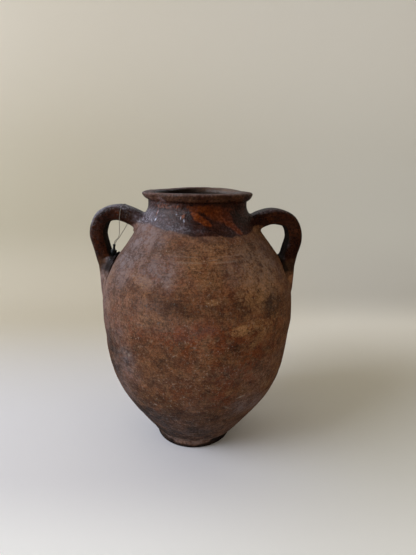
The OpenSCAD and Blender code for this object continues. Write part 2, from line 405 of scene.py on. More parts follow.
def chipped(points):
    """Depth of the break at the lip's front left, and of small knocks along its edge, in mm."""
    angle = angle_of(points)
    height = points[..., 2]
    ragged = 0.35 * noise(points, 5, 17)
    place = np.hypot((angle + 45) / 9.5, (height - lip_z - 4) / 6.5) + ragged
    knocks = rise(noise(points, (9, 9, 30), 18), 0.5, 0.8) * bell(height, lip_z + 9, 3.5)
    return 2.3 * (1 - rise(place, 0.75, 1.05)) + 0.9 * knocks


def relief(points):
    """How far the clay stands out from the outline at points on it, in mm."""
    height = points[..., 2]
    angle = angle_of(points)
    body = rise(height, foot_top - 2, foot_top + 25) * (1 - rise(height, lip_z - 14, lip_z))
    swell = 0.8 * noise(points, 90, 3) + 0.35 * noise(points, 36, 4)
    rings = 0.22 * noise(points, (260, 260, 9), 5) + 0.12 * noise(points, (180, 180, 3.4), 6)
    dents = 0.16 * noise(points, 13, 7) + 0.08 * noise(points, 5, 8)
    shoulder = -4.2 * bell(height, 296, 26) * bell(angle, -90, 48)
    fuller = 1.6 * bell(height, 235, 36) + 1.5 * bell(height, 194, 15) + 1.3 * bell(height, 105, 30)
    fuller = fuller * bell(angle, 90, 50) - 1.1 * bell(height, 168, 11) * bell(angle, -90, 45)
    grooves = sum(-depth * bell(height + 0.7 * noise(points, 60, 9), at, 0.8) for at, depth in INCISED)
    grooves *= rise(noise(points, 40, 11), -0.6, 0)
    turned_foot = rise(height, 1.5, 6) * (1 - rise(height, 15, foot_top))
    turned_foot *= 0.9 * noise(points, 22, 12) + 0.5 * noise(points, 8, 13) - 0.8 * rise(noise(points, 10, 19), 0.3, 0.7)
    lip = rise(height, lip_z - 6, lip_z + 1) * rise(np.hypot(points[..., 0], points[..., 1]), 62, 68)
    lip *= 0.55 * noise(points, 55, 14) + 0.22 * noise(points, 11, 15) + 0.1 * noise(points, 4, 16)
    return body * (swell + rings + dents + shoulder + fuller) + grooves + turned_foot + lip - chipped(points)


# angle round the lip and how far its upper edge is bent up there, in mm
LIP_WAVE = [(-180, 1.6), (-160, 0.1), (-143, -1.7), (-124, -2.3), (-90, -2.4), (-65, -2), (-40, -1), (-20, -0.8),
            (0, -0.3), (30, 0), (60, -0.5), (90, -0.9), (110, -1.1), (120, -1.4), (135, 0.5), (150, 1.3), (180, 1.6)]


def out_of_true(points):
    """Leanings of the whole jar, given to every clay piece alike so that neighbours stay joined.

    The foot sits to the left of the axis, the right end of the lip hangs lower than the left, and the lip's
    upper edge goes up and down."""
    x, y, z = (points[..., i] for i in range(3))
    moved = points.copy()
    moved[..., 0] += -3.8 * (1 - rise(z, 2, 34))
    moved[..., 2] += rise(z, lip_z - 20, lip_z + 4) * (-0.8 - 0.9 * x / lip_r)
    moved[..., 2] += rise(z, lip_z + 1, crest_z) * np.interp(angle_of(points), *zip(*LIP_WAVE))
    return moved


# %% Outside of the whole jar
COLUMNS = 512
turn = np.linspace(0, 2 * np.pi, COLUMNS, endpoint=False)


def revolved(line, lift=None):
    """The surface of a line of [radius, height] turned about the axis, moved along its normals by lift."""
    line = np.asarray(line, float)
    along = np.gradient(line, axis=0)
    normal = np.column_stack([along[:, 1], -along[:, 0]])
    normal /= np.linalg.norm(normal, axis=1, keepdims=True).clip(1e-9)
    lift = np.zeros((len(line), COLUMNS)) if lift is None else lift
    radius = line[:, :1] + lift * normal[:, :1]
    height = line[:, 1:] + lift * normal[:, 1:]
    return np.stack([radius * np.sin(turn), -radius * np.cos(turn), height + 0 * turn], axis=-1)


plain = revolved(outline)
outside = out_of_true(revolved(outline, relief(plain)))
outside_normals = grid_normals(outside, closed=False)
print("Outside grid:", outside.shape, "lowest point", outside[..., 2].min())

# %% [markdown]
# ## Marks on the clay
#
# The colour of an old pot is a record of what happened to it: where the glaze was poured, where the fire touched it,
# where it was rubbed, knocked or stained. A picture wrapped round the jar could carry that, but here each kind of
# mark is a number from 0 to 1 at every point, worked out from a list of blots with ragged edges and from noise for
# the sides that nobody recorded. The materials mix their colours by these numbers.
# Some marks also paint light and shade: the window's sheen and glints, and shade in the throat, under the foot's
# ledge and where the straps meet the body.

# %% Outline as a function of the height
wall_rows = outline[joints[0]:joints[3] + 1]
wall_gradient = np.gradient(wall_rows[:, 0], wall_rows[:, 1])


def wall_radius(height):
    return np.interp(height, wall_rows[:, 1], wall_rows[:, 0])


def above_wall(points):
    """Height of points above the plain wall, measured square to it, and the wall's normal there."""
    around = points[..., :2] / np.linalg.norm(points[..., :2], axis=-1, keepdims=True).clip(1e-6)
    gradient = np.interp(points[..., 2], wall_rows[:, 1], wall_gradient)
    normal = np.concatenate([around, -gradient[..., None]], axis=-1)
    normal /= np.linalg.norm(normal, axis=-1, keepdims=True)
    away = np.linalg.norm(points[..., :2], axis=-1) - wall_radius(points[..., 2])
    return away / np.sqrt(1 + gradient**2), normal


# %% Blots
# kind, angle and height of the middle, half width and half height in mm, tilt in degrees, strength
BLOTS = [
    ("amber", 3, 338, 13, 4.5, -32, 1.0), ("amber", 34, 329, 17, 4.4, -40, 1.0), ("amber", 22, 343, 22, 9, -10, 0.6),
    # painted_glint blots: painted highlights of the window on the glaze of the neck
    ("amber", 12, 350, 30, 5, 0, 0.5), ("painted_glint", -46, 335, 1.4, 2, 0, 0.9),
    ("painted_glint", -17, 339, 0.6, 2.6, 0, 0.7), ("painted_glint", -13, 336, 0.6, 1.8, 10, 0.6), ("painted_glint", -22, 343, 0.8, 0.6, 0, 0.5),
    ("painted_glint", -47, 344, 0.6, 2, 0, 0.5),
    ("amber", 100, 338, 16, 6, 10, 0.6), ("amber", 165, 342, 22, 8, -15, 0.8), ("amber", -120, 336, 12, 6, 25, 0.6),
    # dust_and_sheen blots: grey dust, and on the left, at negative angles, a painted sheen of the window
    ("dust_and_sheen", -62, 332, 40, 15, 0, 0.9), ("dust_and_sheen", -22, 326, 26, 8, 0, 0.55), ("dust_and_sheen", 2, 325, 12, 3, 0, 0.25),
    ("dust_and_sheen", -56, 312, 62, 26, 0, 1.0), ("dust_and_sheen", -56, 282, 56, 36, 0, 0.95), ("dust_and_sheen", 48, 284, 60, 36, 0, 0.55),
    ("dust_and_sheen", -80, 235, 52, 66, 0, 0.8),
    ("dust_and_sheen", -50, 205, 26, 40, 0, 0.35), ("dust_and_sheen", -44, 158, 26, 40, 0, 0.45), ("dust_and_sheen", 38, 140, 34, 30, -20, 0.2),
    ("dust_and_sheen", 170, 285, 50, 22, 0, 0.5), ("dust_and_sheen", 95, 130, 40, 30, 10, 0.4), ("dust_and_sheen", -41, 361, 8, 5, 0, 0.6),
    ("rust", -48, 343, 2, 4, 0, 0.9), ("rust", -15, 341, 2, 4, 0, 0.9), ("rust", -40, 352, 14, 3, 0, 0.7),
    ("rust", -43, 361, 6, 5, 0, 0.6), ("rust", -22, 352, 5, 2.5, 0, 0.6),
    ("rust", 2, 205, 82, 28, 4, 1.0), ("rust", -37, 212, 5, 17, 8, 1.0), ("rust", -30, 206, 4, 13, -5, 0.8),
    ("rust", 6, 166, 56, 22, -6, 0.75), ("rust", -8, 132, 44, 20, 0, 0.65), ("rust", -34, 270, 26, 15, -10, 0.45),
    ("rust", 48, 195, 30, 44, 0, 0.5), ("rust", 16, 150, 18, 34, 8, 0.85), ("rust", 2, 252, 12, 7, 0, 0.4),
    ("rust", -140, 190, 80, 40, -10, 0.7), ("rust", 130, 240, 60, 30, 15, 0.6),
    ("ochre", -33, 268, 21, 8, -8, 0.5), ("ochre", 4, 284, 36, 17, -10, 0.35), ("ochre", 8, 249, 9, 4, 0, 0.7),
    ("ochre", 23, 213, 17, 8, 0, 1.0), ("ochre", 31, 192, 7, 5, 0, 0.8), ("ochre", 24, 277, 20, 3.2, -58, 0.5),
    ("ochre", 33, 275, 20, 3.2, -54, 0.45), ("ochre", 15, 300, 60, 14, 0, 0.35), ("ochre", 46, 222, 16, 10, 20, 0.5),
    ("ochre", 40, 270, 40, 50, 0, 0.85), ("dust_and_sheen", -28, 280, 40, 27, 0, 0.85), ("ochre", 34, 208, 26, 16, -20, 0.6), ("rust", 30, 165, 26, 34, -15, 0.9),
    ("dust_and_sheen", -15, 56, 90, 44, 0, 0.32), ("dust_and_sheen", 36, 96, 40, 22, -10, 0.7), ("dust_and_sheen", -52, 130, 30, 50, 0, 0.45),
    ("ochre", 152, 205, 30, 18, 20, 0.6), ("ochre", -100, 150, 26, 12, -12, 0.5),
    # nick_and_shade blots at -82 and 82 degrees, 270 mm: painted shade where the straps' tails meet the body
    ("soot_and_shade", -14, 243, 46, 15, 4, 0.45), ("soot_and_shade", 28, 239, 46, 14, 6, 0.35), ("soot_and_shade", -44, 160, 20, 30, 0, 0.9), ("nick_and_shade", -82, 270, 4, 7, 0, 0.85),
    ("nick_and_shade", 82, 270, 4, 7, 0, 0.85), ("soot_and_shade", -35, 172, 24, 38, 0, 0.65),
    ("soot_and_shade", -58, 150, 42, 66, 0, 0.95), ("soot_and_shade", -30, 125, 34, 26, 10, 0.5), ("soot_and_shade", 20, 194, 14, 6, -12, 0.9),
    ("soot_and_shade", -3, 104, 54, 9, 0, 0.45), ("soot_and_shade", 20, 111, 18, 8, 15, 0.3), ("soot_and_shade", 40, 120, 24, 30, 0, 0.25),
    ("soot_and_shade", -160, 120, 60, 40, 0, 0.5),
    ("lime", -4, 224, 8, 12, 0, 1.0), ("lime", 8, 249, 11, 5, 0, 0.9), ("lime", -18, 268, 6, 9, 10, 0.8),
    ("lime", -34, 196, 12, 20, 0, 0.7), ("lime", -8, 116, 66, 20, 0, 0.5), ("lime", -6, 78, 50, 16, 0, 0.7),
    ("lime", 5, 182, 60, 34, 0, 0.55), ("lime", 0, 140, 80, 34, 0, 0.5), ("lime", -24, 300, 30, 14, 0, 0.5), ("lime", 140, 150, 50, 30, 0, 0.6),
    ("scuff_and_light", -40, 171, 1.7, 1.9, 0, 0.9), ("scuff_and_light", -1, 196, 2.4, 2, 0, 0.4), ("scuff_and_light", -26, 105, 2.6, 1.6, 0, 0.7),
    ("scuff_and_light", 27, 118, 7, 1.1, 3, 0.8), ("scuff_and_light", 19, 104, 7, 1, -35, 0.5), ("scuff_and_light", 11, 294, 9, 0.6, 4, 0.4),
    ("scuff_and_light", -12, 145, 3, 0.8, 20, 0.5), ("scuff_and_light", 120, 190, 12, 0.7, 30, 0.7),
    ("nick_and_shade", 27.5, 208, 0.9, 4, 28, 0.9), ("nick_and_shade", 24.5, 210, 0.7, 3, 10, 0.5), ("nick_and_shade", 9, 360.5, 1.5, 1.2, 0, 0.9),
    ("nick_and_shade", 20, 362, 1, 1.2, 0, 0.7), ("nick_and_shade", -33, 352, 4, 0.9, 20, 0.6),
    ("pits", -17, 240, 60, 26, 0, 1.0), ("pits", 30, 175, 50, 22, 0, 0.6), ("pits", -150, 230, 60, 40, 0, 0.8),
    ("pits", -6, 100, 90, 40, 0, 0.9),
    ("soot_and_shade", 44, 234, 20, 16, 0, 0.9), ("rust", 14, 122, 26, 22, 0, 1.0),
]
BLOT_EDGE = {"dust_and_sheen": (0, 1.5), "soot_and_shade": (0.2, 1.35), "rust": (0.3, 1.3), "amber": (0.7, 1.1)}
GLAZE_EDGE = [(-180, 319), (-140, 315), (-110, 322), (-75, 326), (-50, 329), (-34, 326), (-19, 323), (-6, 320),
              (5, 320.5), (18, 319), (31, 317), (46, 317.5), (70, 325), (105, 322), (140, 317), (180, 319)]


def blots(kind, points):
    """The strongest blot of a kind at each point.

    A blot is an ellipse on the unrolled wall: its distance is 1 on its rim, shifted by noise, and the mark
    fades across the rim."""
    angle = angle_of(points)
    radius = np.linalg.norm(points[..., :2], axis=-1)
    mask = np.zeros(points.shape[:-1])
    for seed, (name, middle, height, wide, tall, tilt, strength) in enumerate(BLOTS):
        if name != kind:
            continue
        across = np.radians((angle - middle + 180) % 360 - 180) * radius
        up = points[..., 2] - height
        c, s = math.cos(math.radians(tilt)), math.sin(math.radians(tilt))
        place = np.hypot((c * across + s * up) / wide, (c * up - s * across) / tall)
        ragged = 0.55 * rough_noise(points, max(3, min(wide, tall)), 40 + seed, layers=5)
        mask = np.maximum(mask, strength * (1 - rise(place + ragged, *BLOT_EDGE.get(kind, (0.5, 1.15)))))
    return mask


def glaze_edge(points):
    """Height of the glaze's lower edge at each point's angle, with runs and a ragged line."""
    angle = angle_of(points)
    line = np.interp(angle, *zip(*GLAZE_EDGE))
    flat = points * [1, 1, 0]
    return line + 1.6 * noise(flat, 14, 71) + 0.8 * noise(flat, 5, 72) - 3 * rise(noise(flat, 11, 73), 0.45, 0.9)


# %% Marks of the wall and of the straps
def wall_marks(points, inner):
    """The marks of the foot, body, neck and lip. inner is 1 on the inside of the wall, 0 on the outside."""
    height = points[..., 2]
    angle = angle_of(points)
    drift = rough_noise(points, 60, 82)
    # Darker towards the bottom, more on the left and less on the right.
    darker_below = 0.75 * (1 - rise(height + 14 * drift, 40, 150)) + 0.4 * (1 - rise(height + 20 * drift, 140, 250))
    darker_below *= 0.85 + 0.5 * bell(angle, -58, 42) - 0.45 * bell(angle, 50, 35)
    ragged = height + 2.5 * rough_noise(points, 9, 90)
    # Painted shade on the foot below the body's overhanging ledge, darkest on the right.
    shaded = 5.5 + 12 * rise(angle, 10, 36) + 9 * rise(-angle, 30, 60)
    ledge_shade = (0.75 + 0.12 * rise(angle, 12, 36) - 0.2 * rise(-angle, 30, 60)) * (1 - rise(ragged, shaded, shaded + 4))
    dusty = rise(ragged, 6, 11) * (1 - rise(ragged, foot_top, foot_top + 5)) * (1 - 0.8 * rise(angle, 15, 45))
    worn = rise(height + 1.6 * rough_noise(points, 7, 87), lip_z + 8, crest_z - 1)
    face = rise(height, lip_z, lip_z + 4) * (0.12 + 0.5 * rough_noise(points, 16, 99) + 0.4 * bell(angle, -50, 25))
    faded = 2 * bell(angle, -70, 40) + 1
    glaze = np.where(inner > 0, rise(height, 343, 346), rise((height - glaze_edge(points)) / faded, -1, 1))
    glaze = glaze * (1 - 0.5 * worn) * (1 - face.clip(0, 0.8))
    # Painted shade inside the throat: black just inside the lip, lifted where the window lights the far side (lit).
    throat_shade = 1 - rise(np.linalg.norm(points[..., :2], axis=-1) + 1.5 * noise(points, 12, 79), 60, 63.5)
    throat_shade = np.where(height > lip_z - 20, throat_shade, 0)
    foot_line = bell(height, foot_top + 1.6, 2.2) * rise(noise(points, 12, 88), -0.5, 0.2)
    wave = height + 0.7 * noise(points, 60, 9)
    ridge = (bell(wave, 291.6, 1) + bell(wave, 297.6, 0.7)) * rise(rough_noise(points, 26, 89), -0.45, 0.2)
    ridge *= 1 - rise(np.abs(angle - 5), 30, 45)
    # haze_and_sheen: thin dust everywhere, and a painted sheen of the window on the upper left of the body
    haze_and_sheen = 0.04 + 0.3 * bell(angle, -75, 50) * rise(height, 140, 260)
    haze_and_sheen = (haze_and_sheen + 0.22 * rough_noise(points, (50, 50, 20), 84, layers=5)).clip(0) * (1 - 0.6 * glaze)
    darker_below *= 1 - 0.5 * dusty
    # lit: painted light on the inside of the far rim, where the window shines into the throat
    lit = bell((angle + 50) % 360 - 180, 0, 48) * rise(height, lip_z + 2, crest_z - 4)
    return {
        "glaze": glaze,
        "amber": blots("amber", points),
        "rust": np.maximum(blots("rust", points), (0.3 + 0.3 * drift) * (1 - glaze)),
        "ochre": np.maximum.reduce([blots("ochre", points), 0.35 * dusty,
                                    0.3 * rise(rough_noise(points, 24, 83, layers=5), 0.1, 0.5)]),
        "dust_and_sheen": np.maximum.reduce([blots("dust_and_sheen", points), 0.45 * worn, haze_and_sheen, 0.5 * dusty]) * (1 - 0.9 * throat_shade) * (1 - 0.8 * inner),
        # soot_and_shade: soot blots, darker low down, and noise, with painted shade under the foot's ledge and
        # darker on the inside
        "soot_and_shade": np.maximum.reduce([blots("soot_and_shade", points), darker_below, ledge_shade, 0.75 * inner, 0.5 * face.clip(0),
                                   0.35 * rise(rough_noise(points, (40, 40, 18), 85, layers=5), 0, 0.5)]),
        "lime": np.maximum(blots("lime", points), 0.3) * (1 - inner),
        # scuffs and pale lines, and painted light on the inside of the far rim
        "scuff_and_light": np.maximum.reduce([blots("scuff_and_light", points), 0.35 * foot_line, 0.28 * ridge, 0.4 * lit]),
        "painted_glint": blots("painted_glint", points),
        # nick_and_shade: black nicks, with painted shade in the throat and under the foot's ledge
        "nick_and_shade": np.maximum.reduce([blots("nick_and_shade", points), throat_shade * (0.95 - 0.8 * lit), ledge_shade * (1 - inner)]),
        "pits": np.maximum(blots("pits", points), 0.35),
    }


# Direction up and to the left, towards the window: strap faces turned to it get a painted highlight.
TOWARD_WINDOW = np.array([-0.5, -0.3, 0.81])


def strap_marks(points, normals, side):
    """The marks of a strap: glazed down to where it lies on the body, grey and rubbed below.

    Where it faces the finger hole it is bare and painted dark as shade, and the crease at its tail is painted black
    as shade."""
    height = points[..., 2]
    edge = 274 + 3 * noise(points, 14, 91) + 1.5 * noise(points, 5, 92)
    none = np.zeros(height.shape)
    above = above_wall(points)[0] + 1.5 * rough_noise(points, 9, 98)
    hole = np.array([side * (COLLAR_R + belly_r) / 2, 0, collar_z - 28])
    toward = (normals * (hole - points)).sum(-1) / np.linalg.norm(hole - points, axis=-1)
    # Painted shade on the faces that turn towards the finger hole.
    hole_shade = rise(toward + 0.1 * noise(points, 8, 99), 0.05, 0.5)
    # Painted shade in the crease where the strap's tail meets the body.
    crevice_shade = 0.9 * rise(height, 257, 264) * (1 - rise(height, 275, 290)) * (1 - rise(above, 4, 10))
    glaze = rise(height - edge, -5, 5) * (1 - 0.9 * hole_shade)
    own = {
        "glaze": glaze,
        "amber": 0.3 * rise(rough_noise(points, 16, 93), 0.3, 0.7),
        "rust": 0.15 * rise(rough_noise(points, 20, 94), 0.1, 0.5),
        "ochre": none,
        # painted highlight where the strap faces the window, stronger on the left strap
        "dust_and_sheen": (0.7 - 0.3 * side) * rise(normals @ TOWARD_WINDOW + 0.35 * rough_noise(points, 12, 75), 0.62, 0.95),
        "soot_and_shade": np.maximum(0.4 * rise(rough_noise(points, 26, 96), 0, 0.5), hole_shade),
        "lime": none + 0.3,
        "scuff_and_light": 0.5 * rise(rough_noise(points, 4.5, 97), 0.58, 0.7) * (1 - hole_shade),
        "painted_glint": none,
        # black, as painted shade, where the strap faces the hole and where it is bare just above the body
        "nick_and_shade": np.maximum(0.8 * hole_shade, 0.72 * (1 - glaze)),
        "pits": none + 0.4,
    }
    wall = wall_marks(points, none)
    ragged = 3 * rough_noise(points, 10, 76)
    low = 1 - rise(height + ragged, 254, 265)
    root_x = COLLAR_R + 3 + 1.2 * (326 - height).clip(0)
    root = (1 - rise(np.abs(points[..., 0]) + ragged, root_x - 4, root_x + 5)) * rise(height, 295, 305)
    pressed = (1 - rise(above, -1, 3)) * rise(height, 288, 298)
    smeared = np.maximum.reduce([pressed, low, root])
    marks = dict((key, own[key] + smeared * (wall[key] - own[key])) for key in own)
    marks["nick_and_shade"] = np.maximum(marks["nick_and_shade"], crevice_shade)
    return marks


# %% [markdown]
# ## Foot, bowl, shoulder, neck and lip
#
# The potter turns the foot from a thick disc, throws the bowl and the shoulder separately, and joins them
# where the curve is steepest, which hides the joint. Each piece here is a ring or bowl with its real
# thickness: its stretch of the shared outside, its joints to both neighbours, and its inside wall. Blender's
# Solidify could give the thickness, but not a joint with a V in it.

# %% Rings without relief
def rings(line):
    """Points of a line of [radius, height] turned about the axis, leaning as the whole jar does."""
    line = np.asarray(line, float)
    radius, height = line[:, :1], line[:, 1:]
    return out_of_true(np.stack([radius * np.sin(turn), -radius * np.cos(turn), height + 0 * turn], axis=-1))


def inner_wall(node, spacing=6):
    """The inside line of a node's wall, from its top down."""
    return through(wall_rings(node, -1)[::-1], spacing)


def clay_piece(name, first, last, after, closed, before=None):
    """A piece from rows first to last of the outside, with lines of inside points before and after them.

    The normals of the outside come from the whole jar."""
    blocks, normals, inner = [], [], []
    for line in (before, None, after):
        if line is None and len(blocks) == (0 if before is None else 1):
            blocks.append(outside[first:last + 1])
            inner.append(np.zeros(blocks[-1].shape[:2]))
        elif line is not None:
            grid = rings(line)
            blocks.append(grid)
            inner.append(np.ones(grid.shape[:2]))
    grid = np.concatenate(blocks)
    inner = np.concatenate(inner)
    normals = grid_normals(grid, closed)
    start = 0 if before is None else len(before)
    normals[start:start + last + 1 - first] = outside_normals[first:last + 1]
    piece = make_piece(name, grid, normals, closed, wall_marks(grid, inner))
    return piece


# %% Foot
foot = clay_piece("foot_turned", 0, joints[0], np.array(FOOT_SEAT[1:]), closed=False)

# %% Lower body
lower_inner = inner_wall("lower_body")
lower_inner = lower_inner[lower_inner[:, 1] > 56]
bowl_edge = lower_inner[-1]
bowl_line = through([bowl_edge, [bowl_edge[0] * 0.93, 46], [bowl_edge[0] * 0.8, 38], [bowl_edge[0] * 0.6, 33],
                     [24, 31.2], [0.4, 31]], 6)
seam_r, seam_z = outline[joints[1]]
seam_mid = [(seam_r + lower_inner[0][0]) / 2, seam_z - 4]
seat_up = np.array(FOOT_SEAT[::-1])[:-1]
lower_body = clay_piece("lower_body_thrown", joints[0], joints[1],
                        np.vstack([[seam_mid], lower_inner, bowl_line[1:]]), closed=False, before=seat_up)

# %% Upper body
upper_inner = inner_wall("upper_body")
upper_body = clay_piece("upper_body_thrown", joints[1], joints[2],
                        np.vstack([upper_inner, [seam_mid]]), closed=True)

# %% Neck and throat
neck_inner = wall_rings("neck", -1)[::-1]
throat = through(np.vstack([neck_inner, [upper_inner[0]]]), 4)
neck = clay_piece("neck_thrown", joints[2], joints[3],
                  np.vstack([[[outline[joints[3]][0], neck_top]], throat]), closed=True)

# %% Lip
lip = clay_piece("lip_folded", joints[3], joints[4], np.array([[outline[joints[3]][0], neck_top]]), closed=True)

# %% [markdown]
# ## The strap handles
#
# A handle is pulled from a lump of clay into a flat strap, bent over, and pressed on at both ends: its root
# on the collar and its tail on the belly. A bevelled curve would give the strap the same section all along.
# Here a section is carried along the path instead, wider towards both ends and thicker at the root, with a ridge on
# either edge of its crowned outer face, and the clay flares where the potter's thumb smeared it down.

# %% Path and section of a strap
ROOT_T, STRAP_T, TAIL_T = 23, 21, 19
ROOT_W, STRAP_W = 42, 34
SECTION = through([[0, -1], [0.5, -1], [0.82, -0.9], [0.97, -0.56], [1, 0], [0.995, 0.42], [0.94, 0.68],
                   [0.8, 0.86], [0.46, 0.97], [0, 1]], 0.048)


def strap_path(rise_z, reach, pressed):
    """Middle of a strap as [x, z], and for each point how far along the guide points it is, from 0 to 1."""
    crown_z = collar_z + rise_z
    limb_r = belly_r + reach
    guide = [[wall_radius(collar_z - 1) - 9, collar_z - 1], [COLLAR_R + 5, collar_z + 3 + 0.35 * rise_z],
             [(COLLAR_R + limb_r) / 2, crown_z], [limb_r - 7.5 - 0.6 * pressed, crown_z - 6.5],
             [limb_r, crown_z - 27],
             [limb_r - 5, crown_z - 53]]
    guide += [[wall_radius(collar_z - drop) + off - pressed, collar_z - drop]
              for drop, off in ((66, 2.5), (84, -4.5), (116, -10.5))]
    line = through(guide, 1.1)
    length = np.concatenate([[0], np.cumsum(np.linalg.norm(np.diff(guide, axis=0), axis=1))])
    share = np.interp(np.linspace(0, length[-1], len(line)), length, np.linspace(0, 1, len(guide)))
    return line, share


def strap(rise_z, reach, pressed, side, seed):
    """Grid of a strap: the section carried along the path, lumps added, its ends flared and sunk in the wall.

    The flare follows a fillet: at a height d above the wall the clay stands r - sqrt(r*r - (r - d)*(r - d))
    further out along the wall. Nothing reaches deeper than 5 mm below the wall's face."""
    line, share = strap_path(rise_z, reach, pressed)
    along = np.gradient(line, axis=0)
    along /= np.linalg.norm(along, axis=1, keepdims=True)
    thick = np.interp(share, [0.06, 0.25, 0.8, 1], [ROOT_T, STRAP_T, STRAP_T, TAIL_T])[:, None]
    wide = np.interp(share, [0, 0.25, 0.7, 1], [ROOT_W, STRAP_W, STRAP_W, ROOT_W])[:, None]
    section = np.vstack([SECTION, SECTION[-2:0:-1] * [-1, 1]])
    out = thick / 2 * section[:, 1]
    grid = np.stack([side * (line[:, :1] - along[:, 1:] * out), wide / 2 * section[:, 0],
                     line[:, 1:] + along[:, :1] * out], axis=-1)
    middle = np.stack([side * line[:, 0], 0 * line[:, 0], line[:, 1]], axis=-1)[:, None]
    if (grid_normals(grid, False) * (grid - middle)).sum() < 0:
        grid = grid[:, ::-1]
    lumps = 0.9 * noise(grid, 30, seed) + 0.4 * noise(grid, 12, seed + 1) + 0.14 * noise(grid, 5, seed + 2)
    grid = grid + grid_normals(grid, False) * lumps[..., None]
    height, wall_normal = above_wall(grid)
    normal = grid_normals(grid, False)
    sideways = normal - (normal * wall_normal).sum(-1, keepdims=True) * wall_normal
    tail = rise(share, 0.6, 0.78)[:, None]
    r = 4 + 4 * rise(share, 0.1, 0.25)[:, None] + 12 * tail
    gap = r - height.clip(0, r)
    hollow = r - np.sqrt((r * r - gap * gap).clip(0))
    flare = hollow + 0.5 * tail * (0.9 * gap - hollow)
    grid = grid + sideways * flare[..., None]
    height, wall_normal = above_wall(grid)
    grid = grid + wall_normal * (-5 - height).clip(0)[..., None]
    return grid


# %% Both handles
def make_strap(name, rise_z, reach, pressed, side, seed):
    grid = strap(rise_z, reach, pressed, side, seed)
    normals = grid_normals(grid, False)
    return make_piece(name, grid, normals, False, strap_marks(grid, normals, side))


left_handle = make_strap("left_strap", LEFT_RISE, LEFT_REACH, 2, -1, 101)
right_handle = make_strap("right_strap", RIGHT_RISE, RIGHT_REACH, 1, 1, 111)

# %% [markdown]
# ## The lock on the thread
#
# The lock is moulded plastic in two parts: a barrel, and a pin whose barbed shank snaps into it so that the
# loop can't be opened again. Both are turned shapes, made as the jar is from a line carried round an axis,
# and then leant over to hang as the thread does.

# %% Barrel and pin
def hung(line, columns=48):
    """A line of [radius, height] turned about the hanging axis, with its height measured from the barrel top."""
    line = through(line, 0.3)
    around = np.linspace(0, 2 * np.pi, columns, endpoint=False)
    radius, height = line[:, :1], line[:, 1:]
    grid = np.stack([radius * np.cos(around), radius * np.sin(around), height + 0 * around], axis=-1)
    lean = math.atan2(hang[0], hang[2])
    x, z = grid[..., 0], grid[..., 2]
    leant = np.stack([x * math.cos(lean) + z * math.sin(lean), grid[..., 1],
                      z * math.cos(lean) - x * math.sin(lean)], axis=-1)
    return leant + barrel_top


barrel_r = BARREL_D / 2
barrel_grid = hung([[0.05, -BARREL_H], [1.2, -BARREL_H], [1.9, -7.4], [2.3, -6.4], [3.4, -4.4], [4.1, -3],
                    [barrel_r, -2.3], [barrel_r - 0.2, -1.9], [barrel_r - 0.2, -1.5], [barrel_r, -1.1],
                    [barrel_r, -0.6], [barrel_r - 0.5, 0], [2.4, 0], [1.2, 0], [1, -0.4], [1, -4.6],
                    [0.7, -5.1], [0.05, -5.1]])
barrel = make_piece("lock_barrel", barrel_grid, grid_normals(barrel_grid, False), False)
pin_grid = hung([[0.05, -5], [0.5, -5], [0.9, -4.5], [0.9, -2], [0.9, -0.5], [1.1, 0.05], [1.7, 0.1], [2, 0.5],
                 [1.85, 1.4], [1.6, 3], [1.6, 5], [1.85, 6.4], [2, 7.2], [1.6, 7.9], [0.8, PIN_HEAD_H],
                 [0.05, PIN_HEAD_H]])
pin = make_piece("lock_pin", pin_grid, grid_normals(pin_grid, False), False)

# %% [markdown]
# ## Materials as expressions
#
# A material is a graph of nodes, and arithmetic in it takes one Math node for each plus or times. Written as
# Python expressions it reads like the formula it is. The class below wraps a node's output so that + - *
# add those nodes, and one method adds every other kind of node.

# %% Sockets with arithmetic
class Socket:
    """The output of a node. Arithmetic with other sockets or numbers adds Math nodes."""

    def __init__(self, recipe, output):
        self.recipe = recipe
        self.output = output

    def math(self, operation, first, second):
        return self.recipe.node("ShaderNodeMath", {"operation": operation}, {0: first, 1: second})

    def __add__(self, other):
        return self.math("ADD", self, other)

    def __sub__(self, other):
        return self.math("SUBTRACT", self, other)

    def __rsub__(self, other):
        return self.math("SUBTRACT", other, self)

    def __mul__(self, other):
        return self.math("MULTIPLY", self, other)

    __radd__ = __add__
    __rmul__ = __mul__


def shade(red, green, blue):
    """A colour written as the screen shows it, from 0 to 255, turned into the light that it stands for."""
    return tuple(((v / 255 + 0.055) / 1.055) ** 2.4 for v in (red, green, blue)) + (1,)


